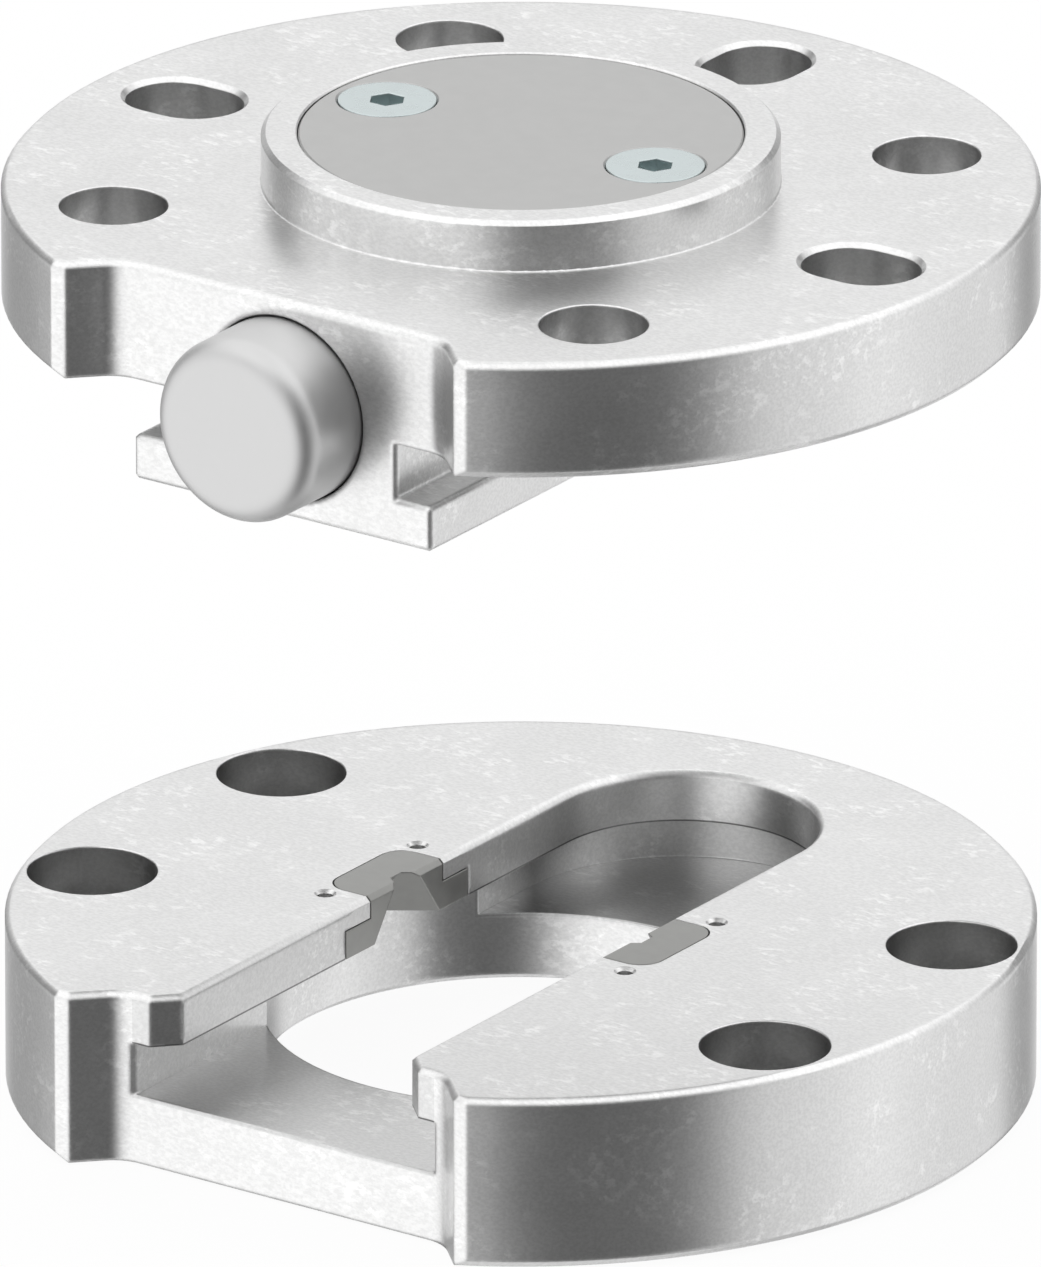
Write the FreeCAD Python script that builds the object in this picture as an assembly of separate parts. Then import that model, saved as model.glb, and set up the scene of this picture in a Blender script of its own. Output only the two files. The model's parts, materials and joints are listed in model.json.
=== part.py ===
import FreeCAD, Part
import math
import os

# Manual tool changer for a robot wrist, in two halves. All sizes are in millimetres.
# The tool half stands on its lower face, with the origin at the centre of that face.
# The robot half is shown lifted straight up from its docked place.
# +Z is up, the rail and its slot run along Y, and the push button faces -Y.

# Both discs
DISC_R = 31.5                  # ISO 9409-1-50 flange size
RIM_CHAMFER = 0.35             # upper rim and notch edges
FOOT_RIM_CHAMFER = 0.5         # lower outer rim
NOTCH_DEPTH = 6.4              # front flat, in from the rim
NOTCH_HALF = 11.9              # half length of the flat before its corner fillets
NOTCH_FILLET = 2.8
NOTCH_CORNER = 0.55            # chamfer where a slanted notch wall meets the rim
LIFT = 40.0                    # height of the robot half above its docked place

# Rail of the robot half
NECK_HALF = 8.4
NECK_OVERHEIGHT = 0.35         # groove height beyond the lip it slides over
FOOT_HALF = 10.95
FOOT_T = 2.85
RAIL_END_Y = 17.2              # centre of the round end of rail and slot
RAIL_CHAMFER = 0.25

# Tool half
TOOL_PLATE_T = 11.0
LIP_T = 3.25
LIP_CLEAR = 0.1                # each side of the neck
FOOT_CLEAR = 0.1               # each side of the foot
FOOT_DROP_CLEAR = 0.15         # below the foot
LEAD_IN = 1.5                  # chamfer that guides the neck into the slot
FOOT_LEAD_IN = 0.25
LIP_EDGE = 0.3
TOOL_BORE_R = 15.75            # centring bore of the tool side
TOOL_BORE_EDGE = 0.35
TOOL_HOLE_X = 25.0
TOOL_HOLE_Y = 10.0
TOOL_HOLE_R = 2.25             # M4 clearance
TOOL_SINK_R = 4.0
TOOL_SINK_DEPTH = 4.6
HOLE_EDGE = 0.06

# Locking inserts of the tool half
INSERT_DEPTH = 3.5             # outward from the slot face
INSERT_HALF = 3.8
INSERT_CORNER = 1.5
SHOULDER_HALF = 6.45
SHOULDER_DROP = 1.45           # from the plate's upper face to the shoulders
INSERT_CLEAR = 0.1
INSERT_PIN_R = 0.5
INSERT_PIN_REACH = 2.65        # outward from the slot face
INSERT_PIN_Y = 4.9
INSERT_PIN_SINK = 0.8          # pin end below the plate's upper face
PIN_MOUTH = 0.2                # chamfer at the mouth of a pin hole

# Nose of a lock bolt, given at the slot face and measured down from the docking plane
NOSE_TOP_HALF = 1.1
NOSE_FLANK_RATIO = 0.7         # widening per unit of depth
NOSE_TAPER_RATIO = 0.7         # narrowing per unit of reach
NOSE_TOP_REACH = 0.78
NOSE_REACH = 2.6
NOSE_TOP_DROP = 0.3
NOSE_LOW_DROP = 3.1
NOSE_CLEAR = 0.06              # in the insert's recess and in the bolt's own guide

# Robot half
ROBOT_PLATE_T = 7.4
BOSS_R = 15.75                 # centring boss for the robot flange
BOSS_H = 3.2
BOSS_CHAMFER = 0.3
BOSS_FILLET = 0.1
BOLT_CIRCLE_R = 25.0
ROBOT_HOLE_R = 3.3             # M6 clearance
ROBOT_SINK_R = 5.5
ROBOT_SINK_DEPTH = 4.2
DOWEL_R = 3.0
DOWEL_TRAVEL = 1.55            # slot length beyond its width
DOWEL_DEPTH = 6.0
DOWEL_EDGE = 0.3

# Cover
COVER_R = 13.5
COVER_T = 2.0
COVER_GAP = 0.07
COVER_SINK = 0.1               # cover face below the boss face
COVER_EDGE = 0.1
COVER_SCREW_INSET = 3.6        # from the cover's rim to a screw's axis
SCREW_R = 1.5
SCREW_HEAD_R = 3.0
SCREW_HEAD_RIM = 0.2
SCREW_LEN = 8.0
SCREW_HOLE_R = 1.6
SINK_GAP = 0.04                # ring between screw head and countersink
SINK_EDGE = 0.12               # broken edge of the countersink
HEX_FLATS = 2.0
HEX_DEPTH = 1.2

# Push button and its stem
BUTTON_R = 5.8
BUTTON_GAP = 0.1
BUTTON_MOUTH = 0.15            # chamfer at the mouth of its bore
BUTTON_OUT = 5.4               # length that stands out of the flat at rest
BUTTON_LEN = 14.4
BUTTON_FILLET = 1.4
BUTTON_Z = 0.38                # axis above the docking plane
BUTTON_TRAVEL = 4.0
STEM_R = 1.2
STEM_Z = 3.4
STEM_CLEAR = 0.1
GRUB_R = 1.2
GRUB_Y = -7.6
GRUB_SINK = 0.1
GRUB_FLATS = 1.3
GRUB_HEX_DEPTH = 1.0

# Pocket under the cover, and the cam slide in it
POCKET_FLOOR = 1.6             # above the docking plane
POCKET_HALF = 6.65
POCKET_FRONT = 9.6
POCKET_REAR = 11.2
POCKET_CORNER = 2.0
SLIDE_CLEAR = 0.06
SLIDE_T = 4.8
SLIDE_REAR_GAP = 0.2           # left behind the slide when the button is pressed home
BOLT_TRAVEL = 2.8
BOLT_INNER_X = 3.0
CAM_PIN_R = 1.0
CAM_PIN_X = 4.6
CAM_PIN_CLEAR = 0.05
CAM_PIN_SLOT_CLEAR = 0.12      # in the pocket floor
CAM_PIN_SEAT = 2.4             # depth that a cam pin is pressed into its bolt
CAM_PIN_TOP_GAP = 0.3

# Return springs
SPRING_X = 3.4
SPRING_WIRE_R = 0.2
SPRING_COIL_R = 1.3
SPRING_TURNS = 6.5
SPRING_SEAT_Y = 2.6
SPRING_BORE_R = 1.8
SPRING_END_GAP = 0.05
GUIDE_R = 0.75
GUIDE_SEAT = 2.0
GUIDE_TIP_GAP = 0.3

# Sizes that follow from the ones above
NOTCH_Y = DISC_R - NOTCH_DEPTH
LIP_HALF = NECK_HALF + LIP_CLEAR
INSERT_PIN_X = LIP_HALF + INSERT_PIN_REACH
NECK_H = LIP_T + NECK_OVERHEIGHT
SLOT_DEPTH = NECK_H + FOOT_T + FOOT_DROP_CLEAR
TOOL_FLOOR_T = TOOL_PLATE_T - SLOT_DEPTH
BOSS_TOP = ROBOT_PLATE_T + BOSS_H
COVER_TOP = BOSS_TOP - COVER_SINK
COVER_SEAT = COVER_TOP - COVER_T
COVER_SCREW_X = COVER_R - COVER_SCREW_INSET
SLIDE_LOW = POCKET_FLOOR + SLIDE_CLEAR
SLIDE_TOP = SLIDE_LOW + SLIDE_T
SLIDE_HALF = POCKET_HALF - SLIDE_CLEAR
SLIDE_FRONT = POCKET_FRONT - SLIDE_CLEAR
SLIDE_REAR = POCKET_REAR - BUTTON_TRAVEL - SLIDE_REAR_GAP
BUTTON_BACK_Y = BUTTON_LEN - NOTCH_Y - BUTTON_OUT
SPRING_Z = SLIDE_LOW + SLIDE_T / 2
SIDES = {"left": -1, "right": 1}
ENDS = {"front": -1, "rear": 1}
OVER = 1.0                     # how far a cutting tool runs past the face it opens

UP = FreeCAD.Vector(0, 0, 1)
ALONG = FreeCAD.Vector(0, 1, 0)


def point(x, y, z=0.0):
    return FreeCAD.Vector(x, y, z)


def disc(r, low, high, x=0.0, y=0.0):
    """Upright cylinder between two heights."""
    return Part.makeCylinder(r, high - low, point(x, y, low), UP)


def bar(r, front, rear, x, z):
    """Cylinder along Y between two places."""
    return Part.makeCylinder(r, rear - front, point(x, front, z), ALONG)


def prism(corners, low, high):
    """Straight-sided outline in plan, raised from one height to another."""
    points = [point(x, y, low) for x, y in corners]
    return Part.Face(Part.makePolygon(points + points[:1])).extrude(point(0, 0, high - low))


def cone_mouth(r, edge, top, x=0.0, y=0.0):
    """45 degree chamfer at the mouth of an upward round hole."""
    return Part.makeCone(r, r + edge + OVER, edge + OVER, point(x, y, top - edge), UP)


def bevel(shape, size, wanted):
    """Chamfer the edges that a test picks."""
    return shape.makeChamfer(size, [e for e in shape.Edges if wanted(e)])


def is_level(edge, z):
    box = edge.BoundBox
    return abs(box.ZMin - z) < 1e-4 and abs(box.ZMax - z) < 1e-4


def is_upright_at(edge, x, y):
    """True for an upright edge at this place on either side."""
    box = edge.BoundBox
    return (box.ZLength > 1e-3 and box.XLength < 1e-4 and box.YLength < 1e-4
            and abs(abs(box.XMin) - x) < 1e-3 and abs(box.YMin - y) < 1e-3)


def hexagon(flats, low, high, x, y):
    r = flats / math.sqrt(3)
    angles = [math.radians(60 * i) for i in range(6)]
    return prism([(x + r * math.cos(a), y + r * math.sin(a)) for a in angles], low, high)


def stadium(r, start, end, low, high):
    """Upright solid with round ends about two places in plan."""
    x0, y0 = start
    x1, y1 = end
    length = math.hypot(x1 - x0, y1 - y0)
    nx, ny = (y0 - y1) / length * r, (x1 - x0) / length * r
    mx, my = (x1 - x0) / length * r, (y1 - y0) / length * r
    edges = [
        Part.LineSegment(point(x0 - nx, y0 - ny, low), point(x1 - nx, y1 - ny, low)).toShape(),
        Part.Arc(point(x1 - nx, y1 - ny, low), point(x1 + mx, y1 + my, low),
                 point(x1 + nx, y1 + ny, low)).toShape(),
        Part.LineSegment(point(x1 + nx, y1 + ny, low), point(x0 + nx, y0 + ny, low)).toShape(),
        Part.Arc(point(x0 + nx, y0 + ny, low), point(x0 - mx, y0 - my, low),
                 point(x0 - nx, y0 - ny, low)).toShape(),
    ]
    return Part.Face(Part.Wire(edges)).extrude(point(0, 0, high - low))


def round_box(half, front, rear, corner, low, high):
    """Upright block, symmetric about X = 0, with rounded corners in plan."""
    block = prism([(-half, front), (half, front), (half, rear), (-half, rear)], low, high)
    return block.makeFillet(corner, [e for e in block.Edges if e.BoundBox.ZLength > 1e-3])


def rail_form(half, front, low, high, flare=0.0, mouth=0.0):
    """U-shaped outline of rail or slot: open end at the front, round end at the back.

    A flare widens the front by 45 degrees, and the mouth is carried on past the front."""
    left = [point(-half, RAIL_END_Y, low), point(-half, front + flare, low)]
    right = [point(half, RAIL_END_Y, low), point(half, front + flare, low)]
    if flare:
        left.append(point(-half - flare, front, low))
        right.append(point(half + flare, front, low))
    if mouth:
        left.append(point(-half - flare, front - mouth, low))
        right.append(point(half + flare, front - mouth, low))
    path = left + right[::-1]
    edges = [Part.LineSegment(a, b).toShape() for a, b in zip(path, path[1:])]
    edges.append(Part.Arc(right[0], point(0, RAIL_END_Y + half, low), left[0]).toShape())
    return Part.Face(Part.Wire(edges)).extrude(point(0, 0, high - low))


def notch_tool(low, high):
    """Front cut-out of a disc: a flat with filleted corners and 45 degree walls."""
    run = DISC_R - NOTCH_Y + OVER
    block = prism([(-NOTCH_HALF, -NOTCH_Y), (NOTCH_HALF, -NOTCH_Y),
                   (NOTCH_HALF + run, -NOTCH_Y - run), (-NOTCH_HALF - run, -NOTCH_Y - run)],
                  low, high)
    corners = [e for e in block.Edges if is_upright_at(e, NOTCH_HALF, -NOTCH_Y)]
    return block.makeFillet(NOTCH_FILLET, corners)


def notched_disc(thickness):
    """Blank that both halves are cut from, with its edges broken."""
    blank = disc(DISC_R, 0, thickness).cut(notch_tool(-OVER, thickness + OVER))
    # The slanted wall leaves the rim where |x| - NOTCH_HALF equals |y| - NOTCH_Y.
    lean = NOTCH_HALF - NOTCH_Y
    corner_y = (-lean + math.sqrt(2 * DISC_R ** 2 - lean ** 2)) / 2
    corner_x = corner_y + lean
    blank = bevel(blank, NOTCH_CORNER, lambda e: is_upright_at(e, corner_x, -corner_y))
    blank = bevel(blank, RIM_CHAMFER, lambda e: is_level(e, thickness))
    return bevel(blank, FOOT_RIM_CHAMFER,
                 lambda e: is_level(e, 0) and e.BoundBox.YMax > -NOTCH_Y + RIM_CHAMFER)


def nose_half(reach, drop):
    """Half width of the bolt nose, this far out of the slot face and this far down."""
    return NOSE_TOP_HALF + NOSE_FLANK_RATIO * drop - NOSE_TAPER_RATIO * reach


def facet_solid(rings):
    """Closed solid of flat faces through a stack of level outlines."""
    faces = []
    for ring in (rings[0], rings[-1]):
        faces.append(Part.Face(Part.makePolygon(ring + ring[:1])))
    for low, high in zip(rings, rings[1:]):
        for i, start in enumerate(low):
            j = (i + 1) % len(low)
            faces.append(Part.Face(Part.makePolygon([start, low[j], high[j], high[i], start])))
    solid = Part.makeSolid(Part.makeShell(faces))
    if solid.Volume < 0:
        solid.reverse()
    return solid


def nose_form(side, plane, start, top_drop, low_drop, grow):
    """Wedge that enters an insert, widening downwards and leaning out at 45 degrees."""
    knee_drop = NOSE_REACH - NOSE_TOP_REACH
    rings = []
    for drop in (low_drop, knee_drop, top_drop):
        reach = min(NOSE_TOP_REACH + drop, NOSE_REACH) + grow
        near = nose_half(start, drop) + grow
        far = nose_half(reach, drop) + grow
        z = plane - drop
        rings.append([point(side * (LIP_HALF + start), -near, z),
                      point(side * (LIP_HALF + reach), -far, z),
                      point(side * (LIP_HALF + reach), far, z),
                      point(side * (LIP_HALF + start), near, z)])
    return facet_solid(rings)


def shank_form(near_x, far_x, plane, grow):
    """Straight part of a lock bolt, or its guide, between two places along X."""
    top = nose_half(0, NOSE_TOP_DROP) + grow
    low = nose_half(0, NOSE_LOW_DROP) + grow
    corners = [point(near_x, -low, plane - NOSE_LOW_DROP - grow),
               point(near_x, low, plane - NOSE_LOW_DROP - grow),
               point(near_x, top, plane - NOSE_TOP_DROP + grow),
               point(near_x, -top, plane - NOSE_TOP_DROP + grow)]
    face = Part.Face(Part.makePolygon(corners + corners[:1]))
    return face.extrude(point(far_x - near_x, 0, 0))


# Tool half

def slotted_plate():
    """Disc with the T-slot, before the insert seats and the holes."""
    plate = notched_disc(TOOL_PLATE_T)
    lip_low = TOOL_PLATE_T - LIP_T
    slot = rail_form(LIP_HALF, -NOTCH_Y, lip_low - OVER, TOOL_PLATE_T + OVER, LEAD_IN, OVER)
    plate = plate.cut(slot)

    def on_slot_edge(edge):
        box = edge.BoundBox
        return (is_level(edge, TOOL_PLATE_T) and box.YMin > -NOTCH_Y - LIP_EDGE
                and max(-box.XMin, box.XMax) < LIP_HALF + LEAD_IN + RIM_CHAMFER
                and box.YMax < RAIL_END_Y + LIP_HALF + LIP_EDGE)

    rim_half = NOTCH_Y - RIM_CHAMFER
    plate = bevel(plate, LIP_EDGE,
                  lambda e: on_slot_edge(e) and e.BoundBox.YMax > -rim_half + 1e-3)
    undercut = rail_form(FOOT_HALF + FOOT_CLEAR, -NOTCH_Y, TOOL_FLOOR_T, lip_low,
                         FOOT_LEAD_IN, OVER)
    centring = disc(TOOL_BORE_R, -OVER, lip_low)
    mouth = Part.makeCone(TOOL_BORE_R + TOOL_BORE_EDGE + OVER, TOOL_BORE_R,
                          TOOL_BORE_EDGE + OVER, point(0, 0, -OVER))
    return plate.cut(undercut).cut(centring).cut(mouth)


def insert_block(side, grow):
    """Inverted T that an insert is cut from: narrow at the top, shouldered below."""
    far = LIP_HALF + INSERT_DEPTH + grow
    top = TOOL_PLATE_T + OVER
    solids = []
    for half, high in ((INSERT_HALF + grow, top),
                       (SHOULDER_HALF + grow, TOOL_PLATE_T - SHOULDER_DROP + grow)):
        block = prism([(side * (LIP_HALF - OVER), -half), (side * far, -half),
                       (side * far, half), (side * (LIP_HALF - OVER), half)],
                      TOOL_PLATE_T - LIP_T - OVER, high)
        outer = [e for e in block.Edges
                 if e.BoundBox.ZLength > 1e-3 and abs(abs(e.BoundBox.XMin) - far) < 1e-3]
        solids.append(block.makeFillet(INSERT_CORNER + grow, outer))
    return solids[0].fuse(solids[1]).removeSplitter()


def insert_pin_places():
    for side_name, side in SIDES.items():
        for end_name, end in ENDS.items():
            yield side_name, end_name, side * INSERT_PIN_X, end * INSERT_PIN_Y


def lock_insert(side, blank):
    """Steel insert, flush with the plate and the slot, with the recess for a bolt nose."""
    insert = blank.common(insert_block(side, 0))
    recess = nose_form(side, TOOL_PLATE_T, -OVER, -INSERT_CLEAR - NOSE_CLEAR,
                       LIP_T + OVER, NOSE_CLEAR)
    insert = insert.cut(recess)
    for name_side, end, x, y in insert_pin_places():
        if SIDES[name_side] == side:
            insert = insert.cut(disc(INSERT_PIN_R, 0, TOOL_PLATE_T, x, y))
    return insert


def insert_pin(x, y):
    return disc(INSERT_PIN_R, TOOL_PLATE_T - LIP_T, TOOL_PLATE_T - INSERT_PIN_SINK, x, y)


def tool_plate(blank):
    plate = blank
    for side in SIDES.values():
        plate = plate.cut(insert_block(side, INSERT_CLEAR))
    for side_name, end_name, x, y in insert_pin_places():
        plate = plate.cut(disc(INSERT_PIN_R, TOOL_FLOOR_T, TOOL_PLATE_T + OVER, x, y))
        plate = plate.cut(cone_mouth(INSERT_PIN_R, PIN_MOUTH, TOOL_PLATE_T, x, y))
    for x in (-TOOL_HOLE_X, TOOL_HOLE_X):
        for y in (-TOOL_HOLE_Y, TOOL_HOLE_Y):
            plate = plate.cut(disc(TOOL_HOLE_R, -OVER, TOOL_PLATE_T, x, y))
            plate = plate.cut(disc(TOOL_SINK_R, TOOL_PLATE_T - TOOL_SINK_DEPTH,
                                   TOOL_PLATE_T + OVER, x, y))
            plate = plate.cut(cone_mouth(TOOL_SINK_R, HOLE_EDGE, TOOL_PLATE_T, x, y))
    return plate


# Robot half, built with the docking plane at Z = 0

def boss():
    """Centring boss with a small fillet at its foot and a chamfer at its rim."""
    foot = ROBOT_PLATE_T
    fillet_mid = BOSS_FILLET * (1 - math.sqrt(0.5))
    outline = [
        Part.LineSegment(point(0, 0, foot - OVER), point(BOSS_R + BOSS_FILLET, 0, foot - OVER)),
        Part.LineSegment(point(BOSS_R + BOSS_FILLET, 0, foot - OVER),
                         point(BOSS_R + BOSS_FILLET, 0, foot)),
        Part.Arc(point(BOSS_R + BOSS_FILLET, 0, foot),
                 point(BOSS_R + fillet_mid, 0, foot + fillet_mid),
                 point(BOSS_R, 0, foot + BOSS_FILLET)),
        Part.LineSegment(point(BOSS_R, 0, foot + BOSS_FILLET),
                         point(BOSS_R, 0, BOSS_TOP - BOSS_CHAMFER)),
        Part.LineSegment(point(BOSS_R, 0, BOSS_TOP - BOSS_CHAMFER),
                         point(BOSS_R - BOSS_CHAMFER, 0, BOSS_TOP)),
        Part.LineSegment(point(BOSS_R - BOSS_CHAMFER, 0, BOSS_TOP), point(0, 0, BOSS_TOP)),
        Part.LineSegment(point(0, 0, BOSS_TOP), point(0, 0, foot - OVER)),
    ]
    wire = Part.Wire([line.toShape() for line in outline])
    return Part.Face(wire).revolve(point(0, 0), UP, 360)


def rail():
    """Neck and foot under the plate, the T-rail that slides into the tool half."""
    neck = rail_form(NECK_HALF, -NOTCH_Y, -NECK_H - RAIL_CHAMFER, OVER)
    neck = bevel(neck, RAIL_CHAMFER, lambda e: is_upright_at(e, NECK_HALF, -NOTCH_Y))
    foot = rail_form(FOOT_HALF, -NOTCH_Y, -NECK_H - FOOT_T, -NECK_H)
    inner = rail_form(NECK_HALF, -NOTCH_Y, -NECK_H, 0)
    foot = bevel(foot, RAIL_CHAMFER,
                 lambda e: e.BoundBox.ZLength < 1e-3 or is_upright_at(e, FOOT_HALF, -NOTCH_Y))
    # The front face runs on unbroken from the foot to the neck.
    bridge = inner.BoundBox
    patch = prism([(bridge.XMin + RAIL_CHAMFER, -NOTCH_Y), (bridge.XMax - RAIL_CHAMFER, -NOTCH_Y),
                   (bridge.XMax - RAIL_CHAMFER, 0), (bridge.XMin + RAIL_CHAMFER, 0)],
                  -NECK_H - FOOT_T / 2, -NECK_H)
    return neck.fuse(foot).fuse(patch)


def robot_hole_places():
    for quarter in range(4):
        angle = math.radians(45 + 90 * quarter)
        yield BOLT_CIRCLE_R * math.cos(angle), BOLT_CIRCLE_R * math.sin(angle)


def dowel_slot(angle):
    """Radial slot for a locating dowel, with a broken edge."""
    c, s = math.cos(math.radians(angle)), math.sin(math.radians(angle))
    near = BOLT_CIRCLE_R - DOWEL_TRAVEL / 2
    far = BOLT_CIRCLE_R + DOWEL_TRAVEL / 2
    top = ROBOT_PLATE_T
    slot = stadium(DOWEL_R, (near * c, near * s), (far * c, far * s), top - DOWEL_DEPTH, top)
    mouth = stadium(DOWEL_R + DOWEL_EDGE, (near * c, near * s), (far * c, far * s),
                    top - DOWEL_EDGE, top + OVER)
    mouth = bevel(mouth, DOWEL_EDGE - 1e-3, lambda e: is_level(e, top - DOWEL_EDGE))
    return slot.fuse(mouth)


def button_bore():
    rear = -NOTCH_Y - BUTTON_OUT + BUTTON_LEN + BUTTON_TRAVEL
    bore_r = BUTTON_R + BUTTON_GAP
    mouth = Part.makeCone(bore_r + BUTTON_MOUTH + OVER, bore_r, BUTTON_MOUTH + OVER,
                          point(0, -NOTCH_Y - OVER, BUTTON_Z), ALONG)
    return bar(bore_r, -NOTCH_Y - OVER, rear, 0, BUTTON_Z).fuse(mouth)


def pocket():
    """Space for the cam slide, open to the cover's seat."""
    room = round_box(POCKET_HALF, -POCKET_FRONT, POCKET_REAR, POCKET_CORNER,
                     POCKET_FLOOR, COVER_SEAT + OVER)
    room = room.fuse(disc(COVER_R + COVER_GAP, COVER_SEAT, BOSS_TOP + OVER))
    return room.fuse(cone_mouth(COVER_R + COVER_GAP, COVER_EDGE, BOSS_TOP))


def bolt_guides():
    """Guide across the neck for both bolts, and the slots for their cam pins above it."""
    guide = shank_form(-NECK_HALF - OVER, NECK_HALF + OVER, 0, NOSE_CLEAR)
    for side in SIDES.values():
        slot = stadium(CAM_PIN_R + CAM_PIN_SLOT_CLEAR, (side * (CAM_PIN_X - BOLT_TRAVEL), 0),
                       (side * CAM_PIN_X, 0), -NOSE_TOP_DROP - OVER, POCKET_FLOOR + OVER)
        guide = guide.fuse(slot)
    return guide


def flange_body():
    body = notched_disc(ROBOT_PLATE_T).fuse(boss()).fuse(rail()).removeSplitter()
    cuts = [button_bore(), pocket(), bolt_guides()]
    cuts.append(bar(STEM_R + STEM_CLEAR, BUTTON_BACK_Y - OVER, -POCKET_FRONT + OVER, 0, STEM_Z))
    for x, y in robot_hole_places():
        cuts.append(disc(ROBOT_HOLE_R, -OVER, ROBOT_PLATE_T + OVER, x, y))
        cuts.append(disc(ROBOT_SINK_R, -OVER, ROBOT_SINK_DEPTH, x, y))
        cuts.append(cone_mouth(ROBOT_HOLE_R, HOLE_EDGE, ROBOT_PLATE_T, x, y))
    for angle in (0, 90, 180):
        cuts.append(dowel_slot(angle))
    for side in SIDES.values():
        cuts.append(disc(SCREW_R, COVER_TOP - SCREW_LEN, COVER_SEAT + OVER,
                         side * COVER_SCREW_X))
        cuts.append(bar(GUIDE_R, POCKET_REAR - OVER, POCKET_REAR + GUIDE_SEAT,
                        side * SPRING_X, SPRING_Z))
    for tool in cuts:
        body = body.cut(tool)
    return body


def cover_disc():
    """Lid of the pocket, with a pad below that keeps the cam slide down."""
    lid = disc(COVER_R, COVER_SEAT, COVER_TOP)
    lid = bevel(lid, COVER_EDGE, lambda e: is_level(e, COVER_TOP) or is_level(e, COVER_SEAT))
    margin = 4 * SLIDE_CLEAR
    pad = round_box(POCKET_HALF - margin, margin - POCKET_FRONT, POCKET_REAR - margin,
                    POCKET_CORNER, SLIDE_TOP + SLIDE_CLEAR, COVER_SEAT + COVER_T / 2)
    lid = lid.fuse(pad)
    for side in SIDES.values():
        x = side * COVER_SCREW_X
        lid = lid.cut(disc(SCREW_HOLE_R, COVER_SEAT - OVER, COVER_TOP, x))
        sink_r = SCREW_HEAD_R + SINK_GAP
        lid = lid.cut(disc(sink_r, COVER_TOP - SCREW_HEAD_RIM, COVER_TOP + OVER, x))
        lid = lid.cut(cone_mouth(sink_r, SINK_EDGE, COVER_TOP, x))
        lid = lid.cut(Part.makeCone(SCREW_R, sink_r, sink_r - SCREW_R,
                                    point(x, 0, COVER_TOP - SCREW_HEAD_RIM - sink_r + SCREW_R)))
    return lid


def cover_screw(side):
    """Countersunk socket screw, flush with the cover."""
    x = side * COVER_SCREW_X
    cone_top = COVER_TOP - SCREW_HEAD_RIM
    cone_low = cone_top - (SCREW_HEAD_R - SCREW_R)
    screw = disc(SCREW_HEAD_R, cone_top, COVER_TOP, x)
    screw = screw.fuse(Part.makeCone(SCREW_R, SCREW_HEAD_R, cone_top - cone_low,
                                     point(x, 0, cone_low)))
    screw = screw.fuse(disc(SCREW_R, COVER_TOP - SCREW_LEN, cone_low, x))
    socket = hexagon(HEX_FLATS, COVER_TOP - HEX_DEPTH, COVER_TOP + OVER, x, 0)
    return screw.removeSplitter().cut(socket)


def push_button():
    """Round button with a softened front edge, and the off-centre stem behind it."""
    front = -NOTCH_Y - BUTTON_OUT
    button = bar(BUTTON_R, front, BUTTON_BACK_Y, 0, BUTTON_Z)
    button = button.makeFillet(BUTTON_FILLET, [e for e in button.Edges
                                               if e.BoundBox.YMax < front + 1e-3])
    stem = bar(STEM_R, BUTTON_BACK_Y - OVER, GRUB_Y + GRUB_R, 0, STEM_Z)
    return button.fuse(stem)


def grub_screw():
    """Set screw that holds the stem in the cam slide."""
    low = STEM_Z + STEM_R
    screw = disc(GRUB_R, low, SLIDE_TOP - GRUB_SINK, 0, GRUB_Y)
    socket = hexagon(GRUB_FLATS, SLIDE_TOP - GRUB_SINK - GRUB_HEX_DEPTH, SLIDE_TOP, 0, GRUB_Y)
    return screw.cut(socket)


def cam_slide():
    """Plate behind the button, whose slanted slots draw the two bolts in."""
    slide = round_box(SLIDE_HALF, -SLIDE_FRONT, SLIDE_REAR, POCKET_CORNER, SLIDE_LOW, SLIDE_TOP)
    slide = bevel(slide, COVER_EDGE, lambda e: is_level(e, SLIDE_TOP))
    slide = slide.cut(bar(STEM_R, -SLIDE_FRONT - OVER, GRUB_Y + GRUB_R, 0, STEM_Z))
    slide = slide.cut(disc(GRUB_R, STEM_Z, SLIDE_TOP + OVER, 0, GRUB_Y))
    for side in SIDES.values():
        slot = stadium(CAM_PIN_R + CAM_PIN_CLEAR, (side * CAM_PIN_X, 0),
                       (side * (CAM_PIN_X - BOLT_TRAVEL), -BUTTON_TRAVEL),
                       SLIDE_LOW - OVER, SLIDE_TOP + OVER)
        slide = slide.cut(slot)
        slide = slide.cut(bar(SPRING_BORE_R, SPRING_SEAT_Y, SLIDE_REAR + OVER,
                              side * SPRING_X, SPRING_Z))
    return slide


def return_spring(side):
    """Coil spring between the cam slide and the rear wall of the pocket."""
    length = POCKET_REAR - SPRING_SEAT_Y - 2 * (SPRING_WIRE_R + SPRING_END_GAP)
    spine = Part.makeHelix(length / SPRING_TURNS, length, SPRING_COIL_R)
    section = Part.Wire(Part.Circle(point(SPRING_COIL_R, 0), ALONG, SPRING_WIRE_R).toShape())
    coil = Part.Wire(spine.Edges).makePipeShell([section], True, True)
    coil.rotate(point(0, 0), point(1, 0), -90)
    coil.translate(point(side * SPRING_X, SPRING_SEAT_Y + SPRING_WIRE_R + SPRING_END_GAP,
                         SPRING_Z))
    return coil


def spring_guide(side):
    """Pin in the rear wall of the pocket that keeps a spring straight."""
    tip = SPRING_SEAT_Y + BUTTON_TRAVEL + GUIDE_TIP_GAP
    return bar(GUIDE_R, tip, POCKET_REAR + GUIDE_SEAT, side * SPRING_X, SPRING_Z)


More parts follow.
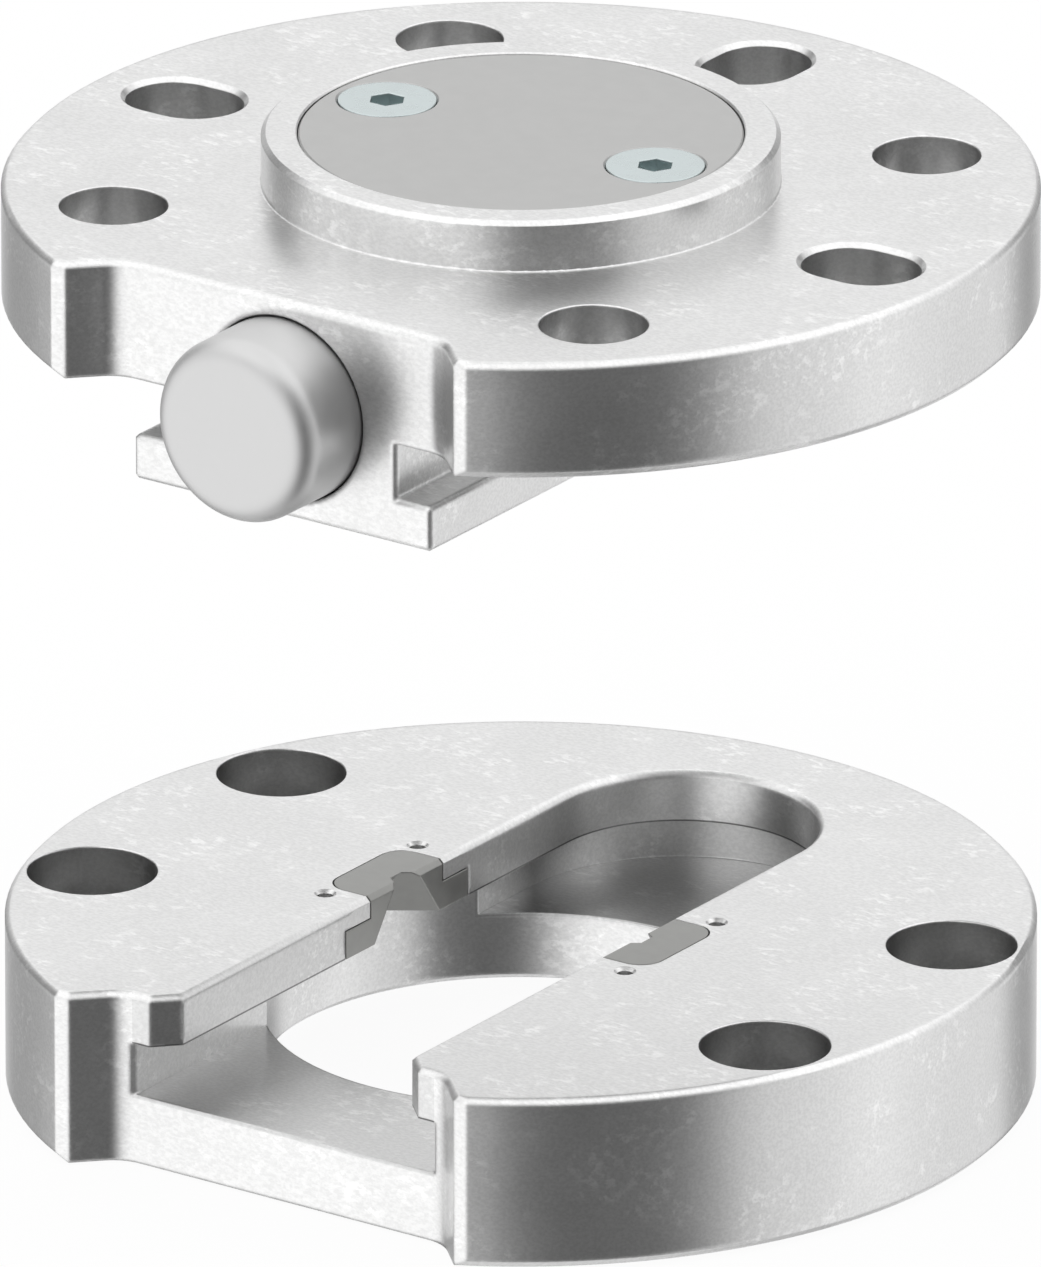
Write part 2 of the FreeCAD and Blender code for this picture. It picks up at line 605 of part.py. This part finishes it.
def lock_bolt(side):
    """Bolt with a wedge nose that draws the two halves together."""
    shank = shank_form(side * BOLT_INNER_X, side * LIP_HALF, 0, 0)
    nose = nose_form(side, 0, 0, NOSE_TOP_DROP, NOSE_LOW_DROP, 0)
    bolt = shank.fuse(nose).removeSplitter()
    seat = disc(CAM_PIN_R, -NOSE_TOP_DROP - CAM_PIN_SEAT, OVER, side * CAM_PIN_X)
    return bolt.cut(seat)


def cam_pin(side):
    return disc(CAM_PIN_R, -NOSE_TOP_DROP - CAM_PIN_SEAT, SLIDE_TOP - CAM_PIN_TOP_GAP,
                side * CAM_PIN_X)


def raised(shape):
    """Set a piece of the robot half at the height where it is shown."""
    lifted = shape.copy()
    lifted.translate(point(0, 0, TOOL_PLATE_T + LIFT))
    return lifted


def all_nodes():
    blank = slotted_plate()
    nodes = {"tool_plate": tool_plate(blank)}
    for side_name, end_name, x, y in insert_pin_places():
        nodes[f"insert_pin_{end_name}_{side_name}"] = insert_pin(x, y)
    robot = {
        "flange_body": flange_body(),
        "cover_disc": cover_disc(),
        "push_button": push_button(),
        "button_set_screw": grub_screw(),
        "cam_slide": cam_slide(),
    }
    for name, side in SIDES.items():
        nodes[f"lock_insert_{name}"] = lock_insert(side, blank)
        robot[f"cover_screw_{name}"] = cover_screw(side)
        robot[f"lock_bolt_{name}"] = lock_bolt(side)
        robot[f"cam_pin_{name}"] = cam_pin(side)
        robot[f"return_spring_{name}"] = return_spring(side)
        robot[f"spring_guide_{name}"] = spring_guide(side)
    nodes.update({name: raised(shape) for name, shape in robot.items()})
    return nodes


os.makedirs("parts", exist_ok=True)
for node, solid in all_nodes().items():
    solid.exportStep(f"parts/{node}.step")
    print(node, len(solid.Solids), "solid", round(solid.Volume, 2), "mm3", solid.isValid())
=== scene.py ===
import json
import math

import bmesh
import bpy
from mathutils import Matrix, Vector


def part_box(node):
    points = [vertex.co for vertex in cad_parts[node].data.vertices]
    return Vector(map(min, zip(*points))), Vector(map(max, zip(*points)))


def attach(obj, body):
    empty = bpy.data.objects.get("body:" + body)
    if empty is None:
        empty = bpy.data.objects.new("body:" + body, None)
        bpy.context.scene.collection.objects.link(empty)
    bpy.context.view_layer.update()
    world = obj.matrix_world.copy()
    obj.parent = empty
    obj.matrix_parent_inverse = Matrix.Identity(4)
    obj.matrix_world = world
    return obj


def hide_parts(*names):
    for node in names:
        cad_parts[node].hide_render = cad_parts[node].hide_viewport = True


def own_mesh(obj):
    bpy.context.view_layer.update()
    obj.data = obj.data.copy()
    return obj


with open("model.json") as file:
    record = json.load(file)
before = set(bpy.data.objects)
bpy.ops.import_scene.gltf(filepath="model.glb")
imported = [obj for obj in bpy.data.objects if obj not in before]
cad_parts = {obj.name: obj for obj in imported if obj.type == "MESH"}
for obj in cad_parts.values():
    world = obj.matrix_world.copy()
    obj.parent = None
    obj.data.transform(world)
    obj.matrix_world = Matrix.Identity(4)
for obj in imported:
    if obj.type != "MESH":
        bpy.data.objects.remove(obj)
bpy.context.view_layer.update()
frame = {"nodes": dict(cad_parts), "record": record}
nodes = frame["nodes"]
print("frame loaded:", len(nodes), "nodes")


# Camera at the photograph's angle

shot = {
    "azimuth": 34.975,
    "elevation": 21.246,
    "distance": 2.238,
    "lens": 1045.2,
    "sensor": 36.0,
    "near": 0.1,
    "far": 20.0,
    "aim": (-0.00003, 0.0, 0.02893),
}


def addCamera(shot):
    az, el = math.radians(shot["azimuth"]), math.radians(shot["elevation"])
    back = Vector((math.sin(az) * math.cos(el), -math.cos(az) * math.cos(el), math.sin(el)))
    data = bpy.data.cameras.new("studioCamera")
    data.lens = shot["lens"]
    data.sensor_width = shot["sensor"]
    data.clip_start, data.clip_end = shot["near"], shot["far"]
    cam = bpy.data.objects.new("studioCamera", data)
    bpy.context.scene.collection.objects.link(cam)
    cam.location = Vector(shot["aim"]) + back * shot["distance"]
    cam.rotation_mode = "QUATERNION"
    cam.rotation_quaternion = (-back).to_track_quat("-Z", "Y")
    bpy.context.scene.camera = cam


addCamera(shot)
print("camera placed")


# Node helpers

def newMaterial(name):
    mat = bpy.data.materials.new(name)
    mat.use_nodes = True
    tree = mat.node_tree
    return mat, tree, tree.nodes["Principled BSDF"]


# Each value goes to the input of its name, or else to the setting
def addNode(tree, kind, **values):
    node = tree.nodes.new(kind)
    for key, value in values.items():
        if key in node.inputs:
            node.inputs[key].default_value = value
        else:
            setattr(node, key, value)
    return node


def addNoise(tree, coords, scale, detail, roughness, stretch=None):
    if stretch:
        mapping = addNode(tree, "ShaderNodeMapping", Scale=stretch)
        tree.links.new(coords, mapping.inputs["Vector"])
        coords = mapping.outputs["Vector"]
    noise = addNode(tree, "ShaderNodeTexNoise", Scale=scale, Detail=detail, Roughness=roughness)
    tree.links.new(coords, noise.inputs["Vector"])
    return noise.outputs["Fac"]


def remap(tree, value, low, high, outLow, outHigh):
    node = addNode(tree, "ShaderNodeMapRange", interpolation_type="SMOOTHSTEP")
    ends = {"From Min": low, "From Max": high, "To Min": outLow, "To Max": outHigh}
    for key, number in ends.items():
        node.inputs[key].default_value = number
    tree.links.new(value, node.inputs["Value"])
    return node.outputs["Result"]


def calc(tree, operation, a, b):
    node = addNode(tree, "ShaderNodeMath", operation=operation)
    for socket, value in zip(node.inputs, (a, b)):
        if isinstance(value, (int, float)):
            socket.default_value = value
        else:
            tree.links.new(value, socket)
    return node.outputs["Value"]


# Factor that is 1 where the share is 0, and the level where it is 1
def dim(tree, share, level):
    return remap(tree, share, 0.0, 1.0, 1.0, level)


# A place or direction with its height taken out
def flatten(tree, vector):
    flat = addNode(tree, "ShaderNodeVectorMath", operation="MULTIPLY")
    tree.links.new(vector, flat.inputs[0])
    flat.inputs[1].default_value = (1.0, 1.0, 0.0)
    return flat.outputs["Vector"]


# Distance past the nearest of some upright circles (x, y, radius)
def pastCircles(tree, coords, circles):
    level = flatten(tree, coords)
    nearest = None
    for x, y, radius in circles:
        span = addNode(tree, "ShaderNodeVectorMath", operation="DISTANCE")
        tree.links.new(level, span.inputs[0])
        span.inputs[1].default_value = (x, y, 0.0)
        past = calc(tree, "SUBTRACT", span.outputs["Value"], radius)
        nearest = past if nearest is None else calc(tree, "MINIMUM", nearest, past)
    return nearest


# 1 inside a box of lowest and highest corner, 0 outside it
def insideBox(tree, axes, low, high):
    inside = None
    for axis, start, end in zip(axes, low, high):
        share = calc(tree, "MULTIPLY", calc(tree, "GREATER_THAN", axis, start),
                     calc(tree, "LESS_THAN", axis, end))
        inside = share if inside is None else calc(tree, "MULTIPLY", inside, share)
    return inside


# Shading that turns round an edge instead of breaking at it
def softEdge(tree, radius):
    edge = addNode(tree, "ShaderNodeBevel", samples=8)
    if isinstance(radius, float):
        edge.inputs["Radius"].default_value = radius
    else:
        tree.links.new(radius, edge.inputs["Radius"])
    return edge.outputs["Normal"]


def mixShaders(tree, share, first, second):
    mix = addNode(tree, "ShaderNodeMixShader")
    for socket, source in zip(mix.inputs, (share, first.outputs[0], second.outputs[0])):
        tree.links.new(source, socket)
    return mix


# Bright tumbled metal of the two halves

blasted = {
    "dark": (0.70, 0.70, 0.698, 1),
    "light": (0.84, 0.84, 0.838, 1),
    "roughness": 0.29,
    "speckleScale": 5200.0,      # fine speckle
    "speckleStretch": (0.6, 1.0, 1.0),
    "speckleRange": (0.3, 0.7),
    "speckleDepth": 0.35,
    "cloudScale": 150.0,         # soft clouds in tone and gloss
    "cloudRange": (0.35, 0.65),
    "cloudTone": (0.42, 0.58),
    "glossRange": (0.3, 0.7),
    "glossChange": (-0.01, 0.015),
    "fleckScale": 1900.0,        # pale rubbed flecks, which lie in patches
    "fleckStretch": (0.5, 1.0, 1.0),
    "fleckRange": (0.50, 0.62),
    "fleckGloss": 0.01,
    "patchScale": 190.0,
    "patchRange": (0.47, 0.61),
    "bumpStrength": 0.08,
    "bumpHeight": 0.00002,
    "edgeRadius": 0.00045,       # how far the tumbling has rounded the edges
    "boreEdgeRadius": 0.00010,   # edges machined after it, at the bores and seats
    "boreEdgeFade": (0.0003, 0.0012),
    # painted shade: the colour inside the bores is darkened to this level
    "paintedBoreShade": 0.80,
    "boreFade": (0.00002, 0.00006),
    "faceFade": 0.0001,
}

dims = {mount["name"]: mount["dims"] for mount in frame["record"]["mounts"]}
toolFloor, toolFace = [corner[2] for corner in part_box("tool_plate")]

robotHalf = {
    "circle": dims["robot_bolts"]["pcd_mm"] / 2000,
    "boltRadius": 0.0055,
    "dowelRadius": 0.0039,
    "bossRadius": 0.0185,        # with the foot of its fillet
    "roof": 0.0003,              # from the lock bolts up to where the rail meets the disc
    "coverRise": 0.0031,         # of the cover disc over the plate's face
}
toolHalf = {
    "spacing": [dims["tool_bolts"][key] / 1000 for key in ("spacing_x_mm", "spacing_y_mm")],
    "boltRadius": 0.0040,
    "insertX": 0.0105,
    "insertRadius": 0.0055,
}
slotWalls = {
    "low": (-0.0112, -0.0252, 0.0042),
    "high": (0.0112, 0.0290, toolFace - 0.00035),
    # painted shade: the colour inside the T-slot is darkened to this level
    "shade": 0.88,
    "lips": 0.00775,             # underside of the slot's lips
    "lipShadowLow": 0.00001,         # painted shadow line along their lower edge
    "lipShadowHigh": 0.00013,
    "lipShadowFade": 0.6,
    "lipShadowShade": 0.35,
    "lipReach": 0.0004,          # crisp inner corners up to here, behind the mouth
    "mouth": -0.0244,
    "cornerShare": 0.35,
}


# Share of a place that is sunk in a bore, between the two faces of the plate
def insideBores(tree, coords, height, look, bores, plate):
    (low, high), fade = plate, look["faceFade"]
    sunk = calc(tree, "MULTIPLY", remap(tree, height, low, low + fade, 0.0, 1.0),
                remap(tree, height, high - 2 * fade, high - fade, 1.0, 0.0))
    past = pastCircles(tree, coords, bores)
    return calc(tree, "MULTIPLY", sunk, remap(tree, past, *look["boreFade"], 1.0, 0.0))


# Painted shade on the T-slot's walls, darker inside the slot and along a thin line under its
# lips, and share of the edge radius that its inner corners keep
def slotShadeAndCorners(tree, axes, slot):
    x, y, z = axes
    inside = insideBox(tree, axes, slot["low"], slot["high"])
    # Painted shadow: a thin dark line on the walls just above the underside of the lips
    start, end = slot["lipShadowLow"], slot["lipShadowHigh"]
    over = calc(tree, "SUBTRACT", z, slot["lips"] + start)
    lipShadowLine = calc(tree, "MULTIPLY", remap(tree, over, 0.0, start, 0.0, 1.0),
                remap(tree, over, end * slot["lipShadowFade"], end, 1.0, 0.0))
    lipShadowLine = calc(tree, "MULTIPLY", inside, lipShadowLine)
    level = calc(tree, "MULTIPLY", dim(tree, inside, slot["shade"]),
                 dim(tree, lipShadowLine, slot["lipShadowShade"]))
    deep = calc(tree, "MULTIPLY", calc(tree, "LESS_THAN", z, slot["lips"] + slot["lipReach"]),
                calc(tree, "GREATER_THAN", y, slot["mouth"]))
    deep = calc(tree, "MULTIPLY", inside, deep)
    return level, dim(tree, deep, slot["cornerShare"])


def blastedAluminium(name, look, bores, seats, plate, slot=None):
    mat, tree, bsdf = newMaterial(name)
    coords = addNode(tree, "ShaderNodeTexCoord").outputs["Object"]
    split = addNode(tree, "ShaderNodeSeparateXYZ")
    tree.links.new(coords, split.inputs["Vector"])
    axes = split.outputs[:]

    speckle = addNoise(tree, coords, look["speckleScale"], 2.0, 0.6, look["speckleStretch"])
    cloud = addNoise(tree, coords, look["cloudScale"], 3.0, 0.55)
    fleck = addNoise(tree, coords, look["fleckScale"], 4.0, 0.65, look["fleckStretch"])
    patch = addNoise(tree, coords, look["patchScale"], 3.0, 0.6)
    rubbed = calc(tree, "MULTIPLY", remap(tree, fleck, *look["fleckRange"], 0.0, 1.0),
                  remap(tree, patch, *look["patchRange"], 0.0, 1.0))
    depth = look["speckleDepth"]
    tone = calc(tree, "ADD", remap(tree, speckle, *look["speckleRange"], -depth, depth),
                remap(tree, cloud, *look["cloudRange"], *look["cloudTone"]))
    mix = addNode(tree, "ShaderNodeMix", data_type="RGBA", clamp_factor=False)
    tree.links.new(calc(tree, "ADD", tone, rubbed), mix.inputs["Factor"])
    mix.inputs["A"].default_value = look["dark"]
    mix.inputs["B"].default_value = look["light"]

    # Painted shade: the colour is darker inside the bores
    sunk = insideBores(tree, coords, axes[2], look, bores, plate)
    level = dim(tree, sunk, look["paintedBoreShade"])
    radius = remap(tree, pastCircles(tree, coords, bores + seats), *look["boreEdgeFade"],
                   look["boreEdgeRadius"], look["edgeRadius"])
    # Painted shade in the T-slot
    if slot:
        slotPaintedShade, cornerShare = slotShadeAndCorners(tree, axes, slot)
        level = calc(tree, "MULTIPLY", level, slotPaintedShade)
        radius = calc(tree, "MULTIPLY", radius, cornerShare)
    shade = addNode(tree, "ShaderNodeVectorMath", operation="SCALE")
    tree.links.new(mix.outputs["Result"], shade.inputs[0])
    tree.links.new(level, shade.inputs["Scale"])
    tree.links.new(shade.outputs["Vector"], bsdf.inputs["Base Color"])

    low, high = [look["roughness"] + change for change in look["glossChange"]]
    rough = remap(tree, cloud, *look["glossRange"], low, high)
    rough = calc(tree, "ADD", rough, calc(tree, "MULTIPLY", rubbed, look["fleckGloss"]))
    tree.links.new(rough, bsdf.inputs["Roughness"])
    bsdf.inputs["Metallic"].default_value = 1.0
    bump = addNode(tree, "ShaderNodeBump", Strength=look["bumpStrength"],
                   Distance=look["bumpHeight"])
    tree.links.new(speckle, bump.inputs["Height"])
    tree.links.new(softEdge(tree, radius), bump.inputs["Normal"])
    tree.links.new(bump.outputs["Normal"], bsdf.inputs["Normal"])
    return mat


def robotAluminium(half):
    circle, slant = half["circle"], half["circle"] / math.sqrt(2)
    bores = [(x, y, half["boltRadius"]) for x in (-slant, slant) for y in (-slant, slant)]
    dowels = ((-circle, 0.0), (circle, 0.0), (0.0, circle))
    seats = [(x, y, half["dowelRadius"]) for x, y in dowels] + [(0.0, 0.0, half["bossRadius"])]
    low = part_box("lock_bolt_left")[1][2] + half["roof"]
    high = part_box("cover_disc")[1][2] - half["coverRise"]
    return blastedAluminium("robotAluminium", blasted, bores, seats, (low, high))


def toolAluminium(half):
    right, rear = [spacing / 2 for spacing in half["spacing"]]
    bores = [(x, y, half["boltRadius"]) for x in (-right, right) for y in (-rear, rear)]
    seats = [(x, 0.0, half["insertRadius"]) for x in (-half["insertX"], half["insertX"])]
    plate = (toolFloor, toolFace)
    return blastedAluminium("toolAluminium", blasted, bores, seats, plate, slotWalls)


# Smooth metals with a faint grain in tone and gloss

plain = {"detail": 4.0, "roughness": 0.6, "range": (0.3, 0.7), "gloss": 0.02}


def plainMetal(name, look):
    mat, tree, bsdf = newMaterial(name)
    coords = addNode(tree, "ShaderNodeTexCoord").outputs["Object"]
    grain = addNoise(tree, coords, look["grainScale"], plain["detail"], plain["roughness"])
    mix = addNode(tree, "ShaderNodeMix", data_type="RGBA")
    tree.links.new(remap(tree, grain, *plain["range"], 0.0, 1.0), mix.inputs["Factor"])
    for key, change in (("A", -look["grainDepth"]), ("B", look["grainDepth"])):
        mix.inputs[key].default_value = [c * (1 + change) for c in look["color"]] + [1]
    tree.links.new(mix.outputs["Result"], bsdf.inputs["Base Color"])
    low, high = look["roughness"] - plain["gloss"], look["roughness"] + plain["gloss"]
    tree.links.new(remap(tree, grain, *plain["range"], low, high), bsdf.inputs["Roughness"])
    bsdf.inputs["Metallic"].default_value = 1.0
    if "edgeRadius" in look:
        tree.links.new(softEdge(tree, look["edgeRadius"]), bsdf.inputs["Normal"])
    return mat


cover = plainMetal("coverAluminium", {
    "color": (0.50, 0.50, 0.495), "roughness": 0.45, "grainScale": 900.0, "grainDepth": 0.02,
})
button = plainMetal("buttonAluminium", {
    "color": (0.63, 0.63, 0.63), "roughness": 0.47, "grainScale": 500.0, "grainDepth": 0.015,
    "edgeRadius": 0.0009,
})
screw = plainMetal("zincPlate", {
    "color": (0.60, 0.665, 0.67), "roughness": 0.28, "grainScale": 700.0, "grainDepth": 0.015,
    "edgeRadius": 0.00014,
})
insertSteel = plainMetal("insertSteel", {
    "color": (0.33, 0.33, 0.32), "roughness": 0.36, "grainScale": 900.0, "grainDepth": 0.04,
    "edgeRadius": 0.00014,
})
pinSteel = plainMetal("pinSteel", {
    "color": (0.50, 0.50, 0.50), "roughness": 0.30, "grainScale": 900.0, "grainDepth": 0.05,
})
springSteel = plainMetal("springSteel", {
    "color": (0.45, 0.45, 0.46), "roughness": 0.30, "grainScale": 900.0, "grainDepth": 0.05,
})

# The first of these words that a node's name holds gives its metal
finishes = {
    "tool_plate": toolAluminium(toolHalf),
    "flange_body": robotAluminium(robotHalf),
    "cover_disc": cover,
    "push_button": button,
    "screw": screw,
    "return_spring": springSteel,
    "pin": pinSteel,
    "guide": pinSteel,
    "lock": insertSteel,
    "cam_slide": insertSteel,
}
smoothing = {"weld": 0.000001, "sharpAngle": 24}


def finishOf(name):
    return next(metal for word, metal in finishes.items() if word in name)


# The loose triangles are joined for shading, and edges over the angle stay sharp
def smoothNode(obj, look):
    weld = obj.modifiers.new("weld", "WELD")
    weld.merge_threshold = look["weld"]
    split = obj.modifiers.new("split", "EDGE_SPLIT")
    split.split_angle = math.radians(look["sharpAngle"])
    obj.data.polygons.foreach_set("use_smooth", [True] * len(obj.data.polygons))
    normals = obj.modifiers.new("normals", "WEIGHTED_NORMAL")
    normals.mode = "FACE_AREA_WITH_ANGLE"
    normals.keep_sharp = True


for name, obj in nodes.items():
    obj.data.materials.clear()
    obj.data.materials.append(finishOf(name))
    smoothNode(obj, smoothing)
    print(name, len(obj.data.polygons), "triangles")
print("metals set")


# Return springs, coils wound to fill the boxes of the springs they stand in for

spring = {
    "wire": 0.0002,              # radius
    "turns": 6.5,
    "stepsPerTurn": 24,
    "wireSides": 10,
    "endGap": 0.00005,
    "travel": 0.004,             # of the button
}


# Coil that fills a box along y, a ring of wire spun round the box's middle and closed
def windCoil(look, low, high, middle):
    wire, sides = look["wire"], look["wireSides"]
    steps = round(look["turns"] * look["stepsPerTurn"])
    rise = (high.y - low.y - 2 * wire) / steps
    coil = (high.x - low.x) / 2 - wire
    bm = bmesh.new()
    ring = bmesh.ops.create_circle(bm, cap_ends=False, segments=sides, radius=wire)
    bmesh.ops.translate(bm, verts=ring["verts"],
                        vec=(middle.x + coil, low.y + wire, middle.z))
    bmesh.ops.spin(bm, geom=bm.verts[:] + bm.edges[:], cent=middle, axis=(0.0, 1.0, 0.0),
                   dvec=(0.0, rise, 0.0), angle=math.tau * look["turns"], steps=steps)
    bmesh.ops.holes_fill(bm, edges=[e for e in bm.edges if e.is_boundary], sides=sides)
    bmesh.ops.recalc_face_normals(bm, faces=bm.faces[:])
    for face in bm.faces:
        face.smooth = len(face.verts) == 4
    return bm


def addSpring(look, node):
    low, high = [Vector(corner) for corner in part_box(node)]
    middle = (low + high) / 2
    bm = windCoil(look, low, high, middle)
    mesh = bpy.data.meshes.new(node + "_coil")
    bm.to_mesh(mesh)
    bm.free()
    mesh.materials.append(springSteel)
    piece = bpy.data.objects.new(node + "_coil", mesh)
    bpy.context.scene.collection.objects.link(piece)
    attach(piece, "robot_half")
    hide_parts(node)
    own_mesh(piece)


for side in ("left", "right"):
    addSpring(spring, "return_spring_" + side)
print("springs wound")


# Floor, nearly white to the camera with a faint shadow, and clear from below

floorLook = {
    "size": 4.0,
    "gap": 0.0002,
    "color": (0.9, 0.9, 0.9, 1),
    "roughness": 0.9,
    "whiteShare": 0.94,
}


def addFloor(look):
    bpy.ops.mesh.primitive_plane_add(size=look["size"], location=(0, 0, -look["gap"]))
    floor = bpy.context.active_object
    floor.name = "floor"
    mat, tree, pale = newMaterial("paleFloor")
    pale.inputs["Base Color"].default_value = look["color"]
    pale.inputs["Roughness"].default_value = look["roughness"]
    pale.inputs["Specular IOR Level"].default_value = 0.0
    white = addNode(tree, "ShaderNodeEmission", Color=(1, 1, 1, 1), Strength=1.0)
    clear = addNode(tree, "ShaderNodeBsdfTransparent")
    seen = addNode(tree, "ShaderNodeLightPath").outputs["Is Camera Ray"]
    below = addNode(tree, "ShaderNodeNewGeometry").outputs["Backfacing"]
    top = mixShaders(tree, calc(tree, "MULTIPLY", seen, look["whiteShare"]), pale, white)
    both = mixShaders(tree, below, top, clear)
    tree.links.new(both.outputs[0], tree.nodes["Material Output"].inputs["Surface"])
    floor.data.materials.append(mat)
    floor.visible_glossy = False


addFloor(floorLook)
print("floor laid")


# Studio: a bright room with dim and bright strips between its panels

room = {
    "strips": [                  # azimuth, half width, lowest and highest elevation, change
        (53.5, 28.0, -70.0, 42.0, -0.88),
        (27.0, 12.0, -70.0, 45.0, -0.25),
        (-109.0, 21.0, -60.0, 5.0, -0.63),
        (186.0, 12.0, -60.0, 5.0, -0.66),
        (-97.0, 16.0, 2.0, 29.0, -0.8),
        (176.0, 11.0, 6.0, 22.0, -0.85),
        (-35.0, 40.0, -50.0, 8.0, 0.25),
        (99.0, 13.0, -60.0, 30.0, -0.15),
        (126.0, 12.0, -60.0, 5.0, 0.05),
        (148.0, 17.0, -60.0, 30.0, -0.13),
        (215.0, 18.0, 0.0, 34.0, -0.06),
        (215.0, 70.0, 34.0, 80.0, 0.26),
        (38.0, 125.0, 36.0, 78.0, 0.40),
    ],
    "outer": 1.35,               # where a strip ends and where it is full, in half widths
    "inner": 0.55,
    "fade": 0.12,                # of its lower and upper end, as a sine
    "below": (-65.0, -45.0),     # elevations over which the room grows dim downwards
    "belowLevel": 0.8,
}


# Share of a strip's change that a direction gets, by its azimuth and elevation
def stripShare(tree, flat, height, look, strip):
    azimuth, half, low, high, change = strip
    az, half = math.radians(azimuth), math.radians(half)
    dot = addNode(tree, "ShaderNodeVectorMath", operation="DOT_PRODUCT")
    tree.links.new(flat, dot.inputs[0])
    dot.inputs[1].default_value = (math.sin(az), -math.cos(az), 0.0)
    share = remap(tree, dot.outputs["Value"], math.cos(half * look["outer"]),
                  math.cos(half * look["inner"]), 0.0, change)
    for elevation, start, end in ((low, 0.0, 1.0), (high, 1.0, 0.0)):
        edge = math.sin(math.radians(elevation))
        ends = (edge - look["fade"], edge + look["fade"])
        share = calc(tree, "MULTIPLY", share, remap(tree, height, *ends, start, end))
    return share


def addRoom(look):
    world = bpy.data.worlds.new("studio")
    bpy.context.scene.world = world
    world.use_nodes = True
    tree = world.node_tree
    back = tree.nodes["Background"]
    back.inputs["Color"].default_value = (1, 1, 1, 1)
    ray = addNode(tree, "ShaderNodeTexCoord").outputs["Generated"]
    flat = addNode(tree, "ShaderNodeVectorMath", operation="NORMALIZE")
    tree.links.new(flatten(tree, ray), flat.inputs[0])
    split = addNode(tree, "ShaderNodeSeparateXYZ")
    tree.links.new(ray, split.inputs["Vector"])
    height = split.outputs["Z"]
    low, high = [math.sin(math.radians(elevation)) for elevation in look["below"]]
    light = remap(tree, height, low, high, look["belowLevel"], 1.0)
    for strip in look["strips"]:
        share = stripShare(tree, flat.outputs["Vector"], height, look, strip)
        light = calc(tree, "MULTIPLY", light, calc(tree, "ADD", share, 1.0))
    path = addNode(tree, "ShaderNodeLightPath")
    mix = addNode(tree, "ShaderNodeMix", data_type="FLOAT")
    tree.links.new(path.outputs["Is Camera Ray"], mix.inputs["Factor"])
    tree.links.new(light, mix.inputs["A"])
    mix.inputs["B"].default_value = 1.0
    tree.links.new(mix.outputs["Result"], back.inputs["Strength"])


addRoom(room)
bpy.context.scene.view_settings.view_transform = "Standard"
print("studio lit")
